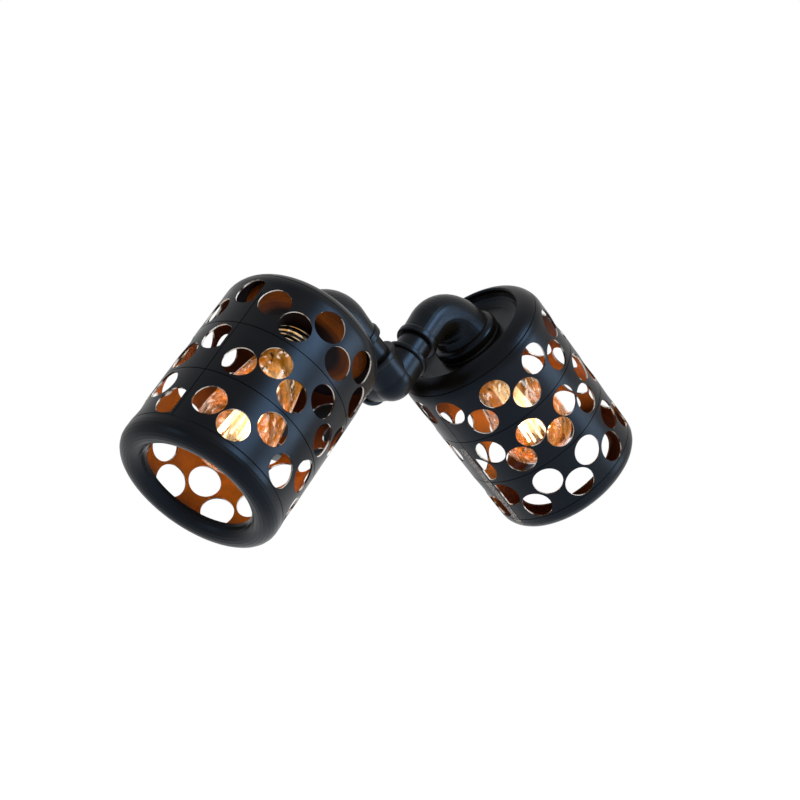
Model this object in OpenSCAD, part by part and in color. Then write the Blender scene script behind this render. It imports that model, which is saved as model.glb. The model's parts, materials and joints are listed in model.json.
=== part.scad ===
// Outdoor wall sconce: two perforated shades on cast pipe elbows, held by one wall pipe.
// Millimetres. The wall is the plane y = 0, the lamp stands off it toward -Y, and +Z is up.

/* [Wall mount] */
// Distance from the wall to the centre of the centre fitting
reach = 130; // [112:1:150]
// Outer diameter of the wall canopy
canopy_d = 112; // [110:1:124]
// Depth of the wall canopy
canopy_depth = 24; // [22:1:30]
// Sheet thickness of the wall canopy
canopy_wall = 1.5; // [1:0.1:2.2]
// Rounding of the canopy's front edge
canopy_round = 6; // [4:0.5:8]
// Thickness of the rubber gasket against the wall
wall_gasket_t = 2; // [1:0.5:4]
// Width of the rubber gasket against the wall
wall_gasket_w = 5; // [4:0.5:5]
// Thickness of the mounting bracket
bracket_t = 3; // [2:0.5:3]
// Width of the bracket strip
bracket_w = 36; // [33:1:37]
// Height of the bracket's bridge above the wall
bridge_rise = 12; // [11:0.5:13]
// Spacing of the two wall screw holes
wall_hole_spacing = 69.85; // [69:0.05:72]
// Diameter of the wall screw holes
wall_hole_d = 4.8; // [4:0.1:5.5]
// Spacing of the two canopy studs
stud_spacing = 86; // [85:1:88]
// Diameter of the canopy studs
stud_d = 4; // [3:0.5:4]

/* [Pipe and centre fitting] */
// Outer diameter of the pipes and nipples
pipe_d = 26.9; // [24:0.1:27.5]
// Inner diameter of the pipes and nipples
pipe_bore_d = 21.6; // [16:0.1:21.6]
// Distance from the fitting's centre to each outlet's end
fitting_end = 25; // [24.5:0.5:32]
// Outer diameter of the fitting's branches
fitting_d = 33; // [32:0.1:34]
// Outer diameter of the fitting's collars
fitting_collar_d = 36.8; // [36:0.1:39]
// Length of the fitting's collars
fitting_collar_len = 4.5; // [3:0.5:6]
// Depth of the threaded sockets in the fittings
socket_depth = 10; // [8:0.5:10]
// Across flats of the two pipe locknuts
pipe_nut_af = 34; // [32:0.5:35]
// Thickness of the two pipe locknuts
pipe_nut_t = 5; // [4:0.5:5]

/* [Arms and elbows] */
// Angle of each arm from upright
arm_tilt = 45; // [42:1:50]
// Distance along an arm from the fitting's centre to the shade's axis
arm_len = 85; // [83:1:100]
// Distance from the shade's axis to the elbow's small end
elbow_small_end = 45; // [43:0.5:47]
// Outer diameter of the bead at the elbow's small end
elbow_bead_d = 34; // [33:0.1:36]
// Length of the bead at the elbow's small end
elbow_bead_len = 6; // [5.5:0.5:8]
// Distance from the arm's axis to the elbow's large end
elbow_large_end = 40; // [38:0.5:44]
// Outer diameter of the elbow behind the small end
elbow_small_d = 31; // [30:0.5:32]
// Outer diameter of the elbow at the hub
elbow_large_d = 50; // [48:0.5:52]
// Outer diameter of the hub's collar
hub_d = 56; // [55:0.5:60]
// Length of the hub's collar
hub_len = 10.3; // [9:0.1:11]
// Bend radius of the elbow's centre line
elbow_bend = 24; // [22:0.5:26]
// Diameter of the elbow's passage at the small end
elbow_way_small_d = 21; // [16:0.5:22]
// Diameter of the elbow's passage at the hub
elbow_way_large_d = 26; // [22:0.5:27]
// Thickness of the hub's web that the stem tube screws into
hub_web = 8; // [6:0.5:10]
// Diameter of the set screws that hold each elbow on its nipple
set_screw_d = 4; // [3:0.5:5]

/* [Shades] */
// Outer diameter of a shade
shade_d = 130; // [124:1:140]
// Length of a shade from its closed top to its mouth
shade_len = 168.5; // [160:0.5:190]
// Distance from the arm's axis to the shade's closed top
shade_drop = 29.5; // [28:0.5:32]
// Sheet thickness of a shade
shade_wall = 1.5; // [1:0.1:2]
// Radius of the rounded shoulder at the closed top
shoulder_r = 19; // [16:0.5:22]
// Distance from the closed top to the seam under the cap
cap_skirt = 11; // [8:0.5:12]
// Radius of the dished recess in the cap
recess_r = 52; // [50:0.5:54]
// Radius of the rolled bead round the mouth
mouth_bead_r = 10.5; // [8:0.5:12]
// Straight part of the ring above its bead
ring_skirt = 4.4; // [3:0.2:8]
// Width and depth of the fine grooves in the sheet
groove = 0.7; // [0.4:0.1:0.9]

/* [Hole pattern] */
// Diameter of the round holes
hole_d = 24.8; // [18:0.2:24.8]
// Bands of holes round a shade
bands = 3; // [3:1:3]
// Distance between the centres of neighbouring bands
band_pitch = 46.9; // [45:0.1:50]
// Distance from the body's top edge to the centre of the first band
first_band = 27.2; // [25:0.1:29]
// Distance between the two rows of a band
row_gap = 16.8; // [16.8:0.1:18]

/* [Lamp holders] */
// Thickness of the gasket between elbow and cap
hub_gasket_t = 1.5; // [1:0.5:2]
// Diameter of the threaded stem tube
stem_d = 10; // [8:0.5:12]
// Inner diameter of the stem tube
stem_bore_d = 7; // [4:0.5:7]
// Thickness of the washer under the cap
washer_t = 1.2; // [0.8:0.1:2]
// Outer diameter of the washer under the cap
washer_d = 26; // [22:1:30]
// Thickness of the stem locknut
stem_nut_t = 3; // [3:0.5:6]
// Across flats of the stem locknut
stem_nut_af = 17; // [16:0.5:20]
// Outer diameter of the holder's ribs
holder_d = 41; // [39:0.5:46]
// Height of the holder's top shell
holder_cap_len = 9; // [8:0.5:14]
// Length of the holder's ribbed part
holder_len = 18; // [17:0.5:26]
// Ribs round the holder
holder_ribs = 5; // [3:1:6]
// Wall of the holder's moulded parts
holder_wall = 2.5; // [2.5:0.1:3.5]

/* [Bulbs] */
// Largest diameter of the bulb
bulb_d = 61; // [55:1:66]
// Length of the bulb with its base
bulb_len = 104; // [98:1:108]
// Diameter of the bulb's screw base
bulb_base_d = 26; // [25:0.2:26.4]
// Length of the bulb's screw base
bulb_base_len = 25; // [23:0.5:27]
// Wall of the bulb's glass
bulb_wall = 1; // [0.7:0.1:1.4]
// Light-emitting sticks in a bulb
filaments = 4; // [2:1:6]
// Distance from the bulb's base to the sticks
filament_rise = 12; // [8:1:14]
// Length of the sticks with their end plates
filament_len = 44; // [30:1:48]

/* [Hidden] */
$fn = 64;
LEFT = -1;
RIGHT = 1;
cut = 1;                      // how far a cutting tool runs past the face that it cuts
fit_clear = 0.05;             // radial clearance of turning and threaded fits
end_gap = 1;                  // room between a pipe's end and the bottom of its socket

// Colours of the preview
BLACK = [0.12, 0.13, 0.15];
RUBBER = [0.05, 0.05, 0.05];
STEEL = [0.68, 0.69, 0.7];
BRASS = [0.8, 0.62, 0.28];
GLASS = [1, 0.8, 0.45, 0.5];

// Wall side
pipe_r = pipe_d / 2;
canopy_r = canopy_d / 2;
bracket_half = stud_spacing / 2 + stud_d;
bridge_half = pipe_nut_af / 2 / cos(30) + bracket_t + 1.4;
screw_head_r = 3.5;
screw_head_t = 2.4;
ground_screw_x = -(bridge_half + screw_head_r + 0.6);
ground_screw_y = bracket_w / 2 - screw_head_r - 0.2;
ground_shank_r = 1.95;
cap_nut_af = stud_d * 1.75;
cap_nut_hex = stud_d * 0.8;
cap_nut_r = cap_nut_af / 2 - 0.15;
cap_nut_bore = stud_d * 1.4;
stud_start = 0.3;
grommet_lip = 1.5;
grommet_neck_r = pipe_r + 3.5;
grommet_lip_r = grommet_neck_r + 3;
pipe_rear = bridge_rise - bracket_t - pipe_nut_t - 1;

// Fittings
collar_edge = 1.2;
fitting_r = fitting_d / 2;
fitting_core_r = fitting_r + 0.3;
fitting_way_r = fitting_r - 6.5;
outlet_start = 4;
fitting_way_round = 2;          // how much wider the fitting's ways are where they meet
elbow_way_round = 2.5;          // the same in an elbow
pipe_end = fitting_end - socket_depth + end_gap;
nipple_far = arm_len - elbow_small_end + socket_depth - end_gap;
bead_mid = elbow_small_end - elbow_bead_len / 2;
screw_tip_r = set_screw_d / 2 * 0.65;
screw_groove_w = 2 * screw_tip_r + 0.5;
screw_groove_d = 1.2;
screw_tip_gap = 0.2;
ledge_t = 0.8;                  // thin ledge round an elbow above its hub's band
ledge_out = 0.6;

// Shades, along their own axis, counted from the arm's axis
seam_edge = 0.5;                // softened edges on both sides of a seam between sheets
shade_r = shade_d / 2;
cap_top = shade_drop;
cap_seam = cap_top + cap_skirt;
mouth_end = cap_top + shade_len;
bead_mid_z = mouth_end - mouth_bead_r;
ring_seam = bead_mid_z - ring_skirt;
shoulder_mid_r = shade_r - shoulder_r;
shoulder_mid_z = cap_top + shoulder_r;
seam_turn = asin((shoulder_mid_z - cap_seam) / shoulder_r);
edge_turn = seam_edge / shoulder_r * 180 / PI;
crest_turn = acos((recess_r - shoulder_mid_r) / shoulder_r);
floor_out = elbow_large_end + hub_gasket_t;
floor_in = floor_out + shade_wall;
floor_r = hub_d / 2 + 3;
crest_z = shoulder_mid_z - shoulder_r * sin(crest_turn);
dish_set = 1.2;                 // how far the middle of the recess's round side lies below the crest

// Lamp holder and bulb, along the shade's axis
washer_end = floor_in + washer_t;
stem_nut_end = washer_end + stem_nut_t;
stem_start = elbow_large_end - hub_web - 8;
holder_floor = stem_nut_end + holder_wall;
stem_end = holder_floor - 0.2;
holder_r = holder_d / 2;
rib_depth = 1.6;
holder_cap_end = stem_nut_end + holder_cap_len;
holder_end = holder_cap_end + holder_len;
spigot_r = holder_r - holder_wall - fit_clear;
contact_r = 3.2;
contact_end = holder_floor + holder_wall + 2.1;
shell_wall = 0.6;
shell_r = bulb_base_d / 2 + 0.7 + shell_wall;
shell_start = holder_floor + holder_wall + 0.2;
bulb_start = contact_end;
bulb_tip = bulb_start + bulb_len;
bulb_r = bulb_d / 2;
bulb_base_r = bulb_base_d / 2;
bulb_base_end = bulb_start + bulb_base_len;
bulb_mid = bulb_tip - bulb_r;
bulb_neck_r = bulb_base_r - 0.7;
base_button_r = 4.5;
base_button_t = 1.2;
base_cone = 5;
base_wall = 0.5;
filament_ring_r = 9.5;
filament_r = 0.9;
filament_low = bulb_base_end + filament_rise;
filament_high = filament_low + filament_len;

// Hole pattern of each shade. The sheet's long seam laps over itself, and holes end at its edges.
// On its outward side a run of holes starts at a margin and keeps one step; the holes of the far
// run share the rest of the way round, up to the far margin. Margins and steps are degrees.
left_seam_at = 159;
right_seam_at = 7;
left_lap = 2.3;
right_lap = 7.4;
left_counts = [17, 18, 18];
right_counts = [19, 20, 20];
left_margins = [15, 16.8, 16.1];
right_margins = [11.7, 2.4, 5.4];
left_steps = [18.3, 20.1, 21.5];
right_steps = [19.1, 17.15, 18.4];
left_far_margins = [9.5, 10, 8.5];
right_far_margins = [15, 23, 15];
left_run = 6;
right_run = 7;
// Holes punched off the pattern: band, number, turn toward the seam, shift toward the mouth
left_strays = [[0, 0, 2.2, 6.2], [1, 1, 0, 3.8], [2, 0, 0, 8.4]];
right_strays = [];
sheet_in_r = shade_r - shade_wall;
hole_start = sqrt(sheet_in_r * sheet_in_r - hole_d * hole_d / 4) - 0.3;
seam_web = 0.8;                 // sheet left between the seam and the straight end of a hole

// Points of a round stretch about (x, y)
function arc(x, y, r, from, to, n) =
    [for (i = [0:n]) let (a = from + (to - from) * i / n) [x + r * cos(a), y + r * sin(a)]];

// Turn of hole i of a band, counted from the sheet's seam
function hole_turn(i, count, margin, step, run, far_margin) =
    let (last = -margin - (run - 1) * step, rest = (360 + last - far_margin) / (count - run))
    i < run ? -margin - i * step : last - (i - run + 1) * rest;

// Place things whose z axis stands off the wall
module on_wall() {
    rotate([90, 0, 0]) children();
}

// Place things along an arm's axis, from the fitting's centre outward
module along_arm(side) {
    translate([0, -reach, 0]) rotate([0, side * arm_tilt, 0]) children();
}

// Place things on a shade: z runs down the shade's axis, x points back to the centre fitting
module on_shade(side) {
    translate([0, -reach, 0])
        rotate([0, 0, side == RIGHT ? 0 : 180])
            translate([arm_len * sin(arm_tilt), 0, arm_len * cos(arm_tilt)])
                rotate([0, 90 + arm_tilt, 0])
                    children();
}

// Round rod or tube from z = a to z = b
module rod(r, a, b) {
    translate([0, 0, a]) cylinder(r = r, h = b - a);
}

module tube(r, bore_r, a, b) {
    difference() {
        rod(r, a, b);
        rod(bore_r, a - cut, b + cut);
    }
}

// Collar with softened edges from z = a to z = b
module collar(r, a, b, edge) {
    rotate_extrude()
        polygon([[0, a], [r - edge, a], [r - edge * 0.3, a + edge * 0.3], [r, a + edge],
                 [r, b - edge], [r - edge * 0.3, b - edge * 0.3], [r - edge, b], [0, b]]);
}

module hex_nut(af, bore_r, a, b) {
    difference() {
        translate([0, 0, a]) cylinder(d = af / cos(30), h = b - a, $fn = 6);
        rod(bore_r, a - cut, b + cut);
    }
}

module wall_gasket() {
    color(RUBBER)
        on_wall()
            tube(canopy_r, canopy_r - wall_gasket_w, 0, wall_gasket_t);
}

module mounting_bracket() {
    color(STEEL)
        on_wall()
            difference() {
                union() {
                    for (side = [LEFT, RIGHT]) {
                        bracket_block(side, bridge_half - bracket_t, bracket_half, 0, bracket_t);
                        bracket_block(side, bridge_half - bracket_t, bridge_half, 0, bridge_rise);
                    }
                    translate([-bridge_half, -bracket_w / 2, bridge_rise - bracket_t])
                        cube([2 * bridge_half, bracket_w, bracket_t]);
                }
                rod(pipe_r + fit_clear, 0, bridge_rise + cut);
                for (side = [LEFT, RIGHT]) {
                    translate([side * wall_hole_spacing / 2, 0, 0])
                        rod(wall_hole_d / 2, -cut, bracket_t + cut);
                    translate([side * stud_spacing / 2, 0, 0])
                        rod(stud_d / 2 + fit_clear, -cut, bracket_t + cut);
                }
                translate([ground_screw_x, ground_screw_y, 0])
                    rod(ground_shank_r + fit_clear, -cut, bracket_t + cut);
            }
}

// Piece of the bracket's strip between two distances from its middle
module bracket_block(side, near, far, low, high) {
    translate([side == RIGHT ? near : -far, -bracket_w / 2, low])
        cube([far - near, bracket_w, high - low]);
}

module ground_screw() {
    color(BRASS)
        on_wall()
            translate([ground_screw_x, ground_screw_y, 0]) {
                rod(ground_shank_r, stud_start, bracket_t + cut);
                collar(screw_head_r, bracket_t, bracket_t + screw_head_t, 0.5);
            }
}

module canopy_studs() {
    color(STEEL)
        on_wall()
            for (side = [LEFT, RIGHT])
                translate([side * stud_spacing / 2, 0, 0])
                    rod(stud_d / 2, stud_start, canopy_depth + cap_nut_bore - 0.3);
}

module canopy_cap_nuts() {
    color(BLACK)
        on_wall()
            for (side = [LEFT, RIGHT])
                translate([side * stud_spacing / 2, 0, canopy_depth])
                    difference() {
                        union() {
                            cylinder(d = cap_nut_af / cos(30), h = cap_nut_hex, $fn = 6);
                            rod(cap_nut_r, 0, cap_nut_bore - cap_nut_r * 0.5);
                            translate([0, 0, cap_nut_bore - cap_nut_r * 0.5]) sphere(cap_nut_r);
                        }
                        rod(stud_d / 2 + fit_clear, -cap_nut_r, cap_nut_bore);
                        translate([0, 0, -2 * cap_nut_r]) cylinder(r = 2 * cap_nut_r, h = 2 * cap_nut_r);
                    }
}

module wall_canopy() {
    round_in = canopy_round - canopy_wall;
    mid = [canopy_r - canopy_round, canopy_depth - canopy_round];
    color(BLACK)
        on_wall()
            difference() {
                rotate_extrude()
                    polygon(concat(
                        [[canopy_r - canopy_wall, wall_gasket_t], [canopy_r, wall_gasket_t]],
                        arc(mid[0], mid[1], canopy_round, 0, 90, 6),
                        [[grommet_neck_r + fit_clear, canopy_depth],
                         [grommet_neck_r + fit_clear, canopy_depth - canopy_wall]],
                        arc(mid[0], mid[1], round_in, 90, 0, 6)));
                for (side = [LEFT, RIGHT])
                    translate([side * stud_spacing / 2, 0, 0])
                        rod(stud_d / 2 + 0.3, canopy_depth - canopy_wall - cut, canopy_depth + cut);
            }
}

module pipe_grommet() {
    front = canopy_depth;
    back = canopy_depth - canopy_wall;
    color(RUBBER)
        on_wall()
            rotate_extrude()
                polygon([[pipe_r + fit_clear, back - grommet_lip],
                         [grommet_lip_r, back - grommet_lip], [grommet_lip_r, back],
                         [grommet_neck_r, back], [grommet_neck_r, front],
                         [grommet_lip_r, front], [grommet_lip_r - 0.8, front + grommet_lip],
                         [pipe_r + fit_clear, front + grommet_lip]]);
}

module wall_pipe() {
    color(BLACK)
        on_wall()
            tube(pipe_r, pipe_bore_d / 2, pipe_rear, reach - pipe_end);
}

module pipe_locknuts() {
    color(STEEL)
        on_wall() {
            hex_nut(pipe_nut_af, pipe_r + fit_clear,
                    bridge_rise - bracket_t - pipe_nut_t, bridge_rise - bracket_t);
            hex_nut(pipe_nut_af, pipe_r + fit_clear, bridge_rise, bridge_rise + pipe_nut_t);
        }
}

// Turn the fitting's two arm outlets, or its wall outlet, into place
module arm_outlets() {
    for (side = [LEFT, RIGHT])
        rotate([0, side * arm_tilt, 0]) children();
}

module wall_outlet() {
    rotate([-90, 0, 0]) children();
}

// Branch with its collar, and the way and socket cut into it
module outlet_body(r) {
    rod(r, outlet_start, fitting_end - cut);
    collar(fitting_collar_d / 2, fitting_end - fitting_collar_len, fitting_end, collar_edge);
}

module outlet_way(r) {
    rod(r, outlet_start, fitting_end);
    rod(pipe_r + fit_clear, fitting_end - socket_depth, fitting_end + cut);
}

module centre_fitting() {
    wall_branch_less = 0.5;
    color(BLACK)
        translate([0, -reach, 0])
            difference() {
                union() {
                    sphere(fitting_core_r);
                    arm_outlets() outlet_body(fitting_r);
                    wall_outlet() outlet_body(fitting_r - wall_branch_less);
                }
                sphere(fitting_way_r + fitting_way_round);
                arm_outlets() outlet_way(fitting_way_r);
                wall_outlet() outlet_way(fitting_way_r - wall_branch_less);
            }
}

// Short pipe of an arm, with the groove that the elbow's set screw runs in
module arm_nipple(side) {
    groove_mid = arm_len - bead_mid;
    color(BLACK)
        along_arm(side)
            difference() {
                tube(pipe_r, pipe_bore_d / 2, pipe_end, nipple_far);
                tube(pipe_r + cut, pipe_r - screw_groove_d,
                     groove_mid - screw_groove_w / 2, groove_mid + screw_groove_w / 2);
            }
}

// Rings of the elbow's outer skin: down the arm, round the bend, then down the shade's axis
elbow_bend_len = elbow_bend * PI / 2;
elbow_in = elbow_small_end - elbow_bead_len / 2;
elbow_out = elbow_large_end - hub_len / 2;
elbow_run = elbow_in - elbow_bend + elbow_bend_len + elbow_out - elbow_bend;
elbow_steps = 24;
elbow_sides = 40;

// Centre and turn of the skin's cross-section at distance d along the centre line
function elbow_at(d) =
    let (first = elbow_in - elbow_bend, turned = (d - first) / elbow_bend_len * 90)
    d < first ? [elbow_in - d, 0, 0]
    : d < first + elbow_bend_len
        ? [elbow_bend * (1 - sin(turned)), elbow_bend * (1 - cos(turned)), turned]
        : [0, elbow_bend + d - first - elbow_bend_len, 90];

// The skin swells slowly behind the small end and more quickly toward the hub
function elbow_radius(d) =
    elbow_small_d / 2 + (elbow_large_d - elbow_small_d) / 2 * pow(d / elbow_run, 2);

function elbow_ring(d) =
    let (at = elbow_at(d), r = elbow_radius(d))
    [for (i = [0:elbow_sides - 1])
        let (a = 360 * i / elbow_sides)
        [at[0] - r * cos(a) * sin(at[2]), r * sin(a), at[1] - r * cos(a) * cos(at[2])]];

module elbow_skin() {
    points = [for (k = [0:elbow_steps]) each elbow_ring(elbow_run * k / elbow_steps)];
    wall = [for (k = [0:elbow_steps - 1], i = [0:elbow_sides - 1])
        let (j = (i + 1) % elbow_sides, a = k * elbow_sides, b = a + elbow_sides)
        each [[a + i, a + j, b + i], [a + j, b + j, b + i]]];
    first = [for (i = [elbow_sides - 1:-1:0]) i];
    last = [for (i = [0:elbow_sides - 1]) elbow_steps * elbow_sides + i];
    polyhedron(points = points, faces = concat([first], wall, [last]));
}

// Place things along the elbow's small end, outward from the shade's axis
module on_small_end() {
    rotate([0, 90, 0]) children();
}

// Collar of the hub: a thin ledge round the elbow's skin, then a rounded band
module hub_collar() {
    start = elbow_large_end - hub_len;
    round_r = hub_len * 0.45;
    band_start = start + ledge_t;
    ledge_r = elbow_radius(elbow_run - hub_len / 2) + ledge_out;
    rotate_extrude()
        polygon(concat(
            [[0, start], [ledge_r, start], [ledge_r, band_start]],
            arc(hub_d / 2 - round_r, band_start + round_r, round_r, -80, 0, 5),
            [[hub_d / 2, elbow_large_end - collar_edge],
             [hub_d / 2 - collar_edge, elbow_large_end], [0, elbow_large_end]]));
}

module elbow(side) {
    small_r = elbow_way_small_d / 2;
    large_r = elbow_way_large_d / 2;
    corner = elbow_bend * (1 - sqrt(0.5));
    stem_way_start = corner + 4;
    color(BLACK)
        on_shade(side)
            difference() {
                union() {
                    elbow_skin();
                    on_small_end()
                        collar(elbow_bead_d / 2, elbow_small_end - elbow_bead_len,
                               elbow_small_end, collar_edge);
                    hub_collar();
                }
                on_small_end() {
                    rod(small_r, elbow_bend / 2, elbow_small_end);
                    rod(pipe_r + fit_clear, elbow_small_end - socket_depth, elbow_small_end + cut);
                }
                translate([corner, 0, corner]) sphere(small_r + elbow_way_round);
                rod(large_r, elbow_bend * 0.6, elbow_large_end - hub_web);
                rod(stem_d / 2 + fit_clear, stem_way_start, elbow_large_end + cut);
                translate([bead_mid, 0, 0])
                    rotate([-90 * side, 0, 0])
                        rod(set_screw_d / 2 + fit_clear, 0, elbow_bead_d);
            }
}

// Dog-point screw in the elbow's bead; its tip runs in the nipple's groove
module set_screw(side) {
    tip = pipe_r - screw_groove_d + screw_tip_gap;
    shank = pipe_r + fit_clear + 0.1;
    color(STEEL)
        on_shade(side)
            translate([bead_mid, 0, 0])
                rotate([-90 * side, 0, 0])
                    difference() {
                        union() {
                            rod(screw_tip_r, tip, shank + cut);
                            rod(set_screw_d / 2, shank, elbow_bead_d / 2 - 0.4);
                        }
                        translate([0, 0, elbow_bead_d / 2 - 1.6])
                            cylinder(d = set_screw_d / 2, h = 2, $fn = 6);
                    }
}

module stem_tube(side) {
    color(STEEL)
        on_shade(side)
            tube(stem_d / 2, stem_bore_d / 2, stem_start, stem_end);
}

module hub_gasket(side) {
    color(RUBBER)
        on_shade(side)
            tube(hub_d / 2 - collar_edge, stem_d / 2 + 1, elbow_large_end, floor_out);
}

// Point of the shoulder at radius r about the shoulder's own middle
function shoulder_at(r, turn) =
    [shoulder_mid_r + r * cos(turn), shoulder_mid_z + r * sin(turn)];

// Spun cap: rounded shoulder, crest and dished recess with a flat floor under the elbow
module shade_cap(side) {
    in_r = shoulder_r - shade_wall;
    dish = floor_out - crest_z;
    outer = concat(
        [shoulder_at(shoulder_r - seam_edge, -seam_turn)],
        arc(shoulder_mid_r, shoulder_mid_z, shoulder_r, -seam_turn - edge_turn, -crest_turn, 8),
        arc(recess_r - dish, crest_z + dish_set, dish - dish_set, 0, 90, 5),
        [[floor_r, floor_out], [stem_d / 2 + fit_clear, floor_out]]);
    inner = concat(
        [[stem_d / 2 + fit_clear, floor_in], [floor_r, floor_in]],
        arc(recess_r - dish, crest_z + dish_set, dish - dish_set + shade_wall, 90, 0, 5),
        arc(shoulder_mid_r, shoulder_mid_z, in_r, -crest_turn, -seam_turn, 8));
    color(BLACK)
        on_shade(side)
            rotate_extrude()
                polygon(concat(outer, inner));
}

// Rolled sheet: curved at its top edge, then straight to the ring
module shade_sheet() {
    in_r = shoulder_r - shade_wall;
    rotate_extrude()
        polygon(concat(
            [shoulder_at(shoulder_r - seam_edge, -seam_turn)],
            arc(shoulder_mid_r, shoulder_mid_z, shoulder_r, edge_turn - seam_turn, 0, 4),
            [[shade_r, ring_seam - seam_edge], [shade_r - seam_edge, ring_seam],
             [shade_r - shade_wall, ring_seam]],
            arc(shoulder_mid_r, shoulder_mid_z, in_r, 0, -seam_turn, 4)));
}

// Zigzag bands of round holes, whose first row alternates from band to band
module shade_holes(seam_at, counts, margins, steps, run, far_margins, lap, strays) {
    for (band = [0:bands - 1], i = [0:counts[band] - 1]) {
        found = [for (s = strays) if (s[0] == band && s[1] == i) s];
        off = len(found) > 0 ? found[0] : [band, i, 0, 0];
        row = (i + band) % 2 == 0 ? -row_gap / 2 : row_gap / 2;
        turn = hole_turn(i, counts[band], margins[band], steps[band], run, far_margins[band]);
        z = cap_seam + first_band + band * band_pitch + row + off[3];
        if (i == 0)
            seam_end(seam_at, z, turn + off[2], -seam_web, hole_d);
        else if (i == counts[band] - 1)
            seam_end(seam_at, z, turn + off[2], -hole_d, lap);
        else
            shade_hole(seam_at, z, turn + off[2]);
    }
}

module shade_hole(seam_at, z, turn) {
    translate([0, 0, z])
        rotate([0, 90, seam_at + turn])
            rod(hole_d / 2, hole_start, shade_r + cut);
}

// Hole beside the seam, ended straight by the lap that lies between two distances from it
module seam_end(seam_at, z, turn, from, to) {
    difference() {
        shade_hole(seam_at, z, turn);
        rotate([0, 0, seam_at])
            translate([hole_start - cut, from, z - hole_d])
                cube([shade_r - hole_start + 3 * cut, to - from, 2 * hole_d]);
    }
}

// Fine grooves: one between neighbouring bands, and the sheet's long seam
module shade_grooves(seam_at) {
    for (band = [0:bands - 2])
        translate([0, 0, cap_seam + first_band + (band + 0.5) * band_pitch])
            tube(shade_r + cut, shade_r - groove, -groove / 2, groove / 2);
    rotate([0, 0, seam_at])
        translate([shade_r - groove, -groove / 2, cap_seam + shoulder_r])
            cube([groove + cut, groove, ring_seam]);
}

module shade_body(side) {
    color(BLACK)
        on_shade(side)
            difference() {
                shade_sheet();
                if (side == LEFT)
                    shade_holes(left_seam_at, left_counts, left_margins, left_steps, left_run,
                                left_far_margins, left_lap, left_strays);
                else
                    shade_holes(right_seam_at, right_counts, right_margins, right_steps, right_run,
                                right_far_margins, right_lap, right_strays);
                shade_grooves(side == LEFT ? left_seam_at : right_seam_at);
            }
}

// Ring whose rim is rolled inward to a round bead
module shade_ring(side) {
    mid_r = shade_r - mouth_bead_r;
    color(BLACK)
        on_shade(side)
            rotate_extrude()
                polygon(concat(
                    [[shade_r - shade_wall, ring_seam], [shade_r - seam_edge, ring_seam],
                     [shade_r, ring_seam + seam_edge]],
                    arc(mid_r, bead_mid_z, mouth_bead_r, 0, 180, 12),
                    arc(mid_r, bead_mid_z, mouth_bead_r - shade_wall, 180, 0, 12)));
}

module washer(side) {
    color(STEEL)
        on_shade(side)
            tube(washer_d / 2, stem_d / 2 + 0.2, floor_in, washer_end);
}

module stem_nut(side) {
    color(STEEL)
        on_shade(side)
            hex_nut(stem_nut_af, stem_d / 2 + fit_clear, washer_end, stem_nut_end);
}

module holder_cap(side) {
    edge = 2.5;
    in_r = holder_r - holder_wall;
    color(RUBBER)
        on_shade(side)
            rotate_extrude()
                polygon([[stem_d / 2 + fit_clear, stem_nut_end], [holder_r - edge, stem_nut_end],
                         [holder_r, stem_nut_end + edge], [holder_r, holder_cap_end],
                         [in_r, holder_cap_end], [in_r, holder_floor],
                         [stem_d / 2 + fit_clear, holder_floor]]);
}

module lamp_holder(side) {
    pitch = holder_len / holder_ribs;
    ribs = [for (i = [0:holder_ribs - 1]) each [
        [holder_r, holder_cap_end + pitch * i],
        [holder_r, holder_cap_end + pitch * (i + 0.5)],
        [holder_r - rib_depth, holder_cap_end + pitch * (i + 0.65)],
        [holder_r - rib_depth, holder_cap_end + pitch * (i + 0.85)]]];
    color(RUBBER)
        on_shade(side)
            rotate_extrude()
                polygon(concat(
                    [[contact_r + 0.2, holder_floor + fit_clear],
                     [spigot_r, holder_floor + fit_clear], [spigot_r, holder_cap_end]],
                    ribs,
                    [[holder_r - rib_depth, holder_end], [shell_r + fit_clear, holder_end],
                     [shell_r + fit_clear, holder_floor + holder_wall],
                     [contact_r + 0.2, holder_floor + holder_wall]]));
}

module screw_shell(side) {
    color(BRASS)
        on_shade(side)
            tube(shell_r, shell_r - shell_wall, shell_start, holder_end - 2);
}

module centre_contact(side) {
    color(BRASS)
        on_shade(side) {
            rod(contact_r, holder_floor + 0.2, contact_end - 1.5);
            rod(contact_r * 0.6, contact_end - 1.6, contact_end);
        }
}

// Screw base of the bulb: contact button, insulating cone and hollow shell
module bulb_base(side) {
    cone_end = bulb_start + base_button_t + base_cone;
    in_r = bulb_base_r - base_wall;
    color(BRASS)
        on_shade(side)
            rotate_extrude()
                polygon([[0, bulb_start], [base_button_r, bulb_start],
                         [base_button_r, bulb_start + base_button_t], [bulb_base_r, cone_end],
                         [bulb_base_r, bulb_base_end], [in_r, bulb_base_end],
                         [in_r, cone_end + 2], [0, cone_end + 2]]);
}

// Radius of the bulb's glass at height z: a smooth swell from the neck, then a round end
function glass_radius(z) =
    z < bulb_mid
        ? bulb_neck_r + (bulb_r - bulb_neck_r)
            * (1 - cos(180 * (z - bulb_base_end) / (bulb_mid - bulb_base_end))) / 2
        : sqrt(max(0, bulb_r * bulb_r - (z - bulb_mid) * (z - bulb_mid)));

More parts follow.
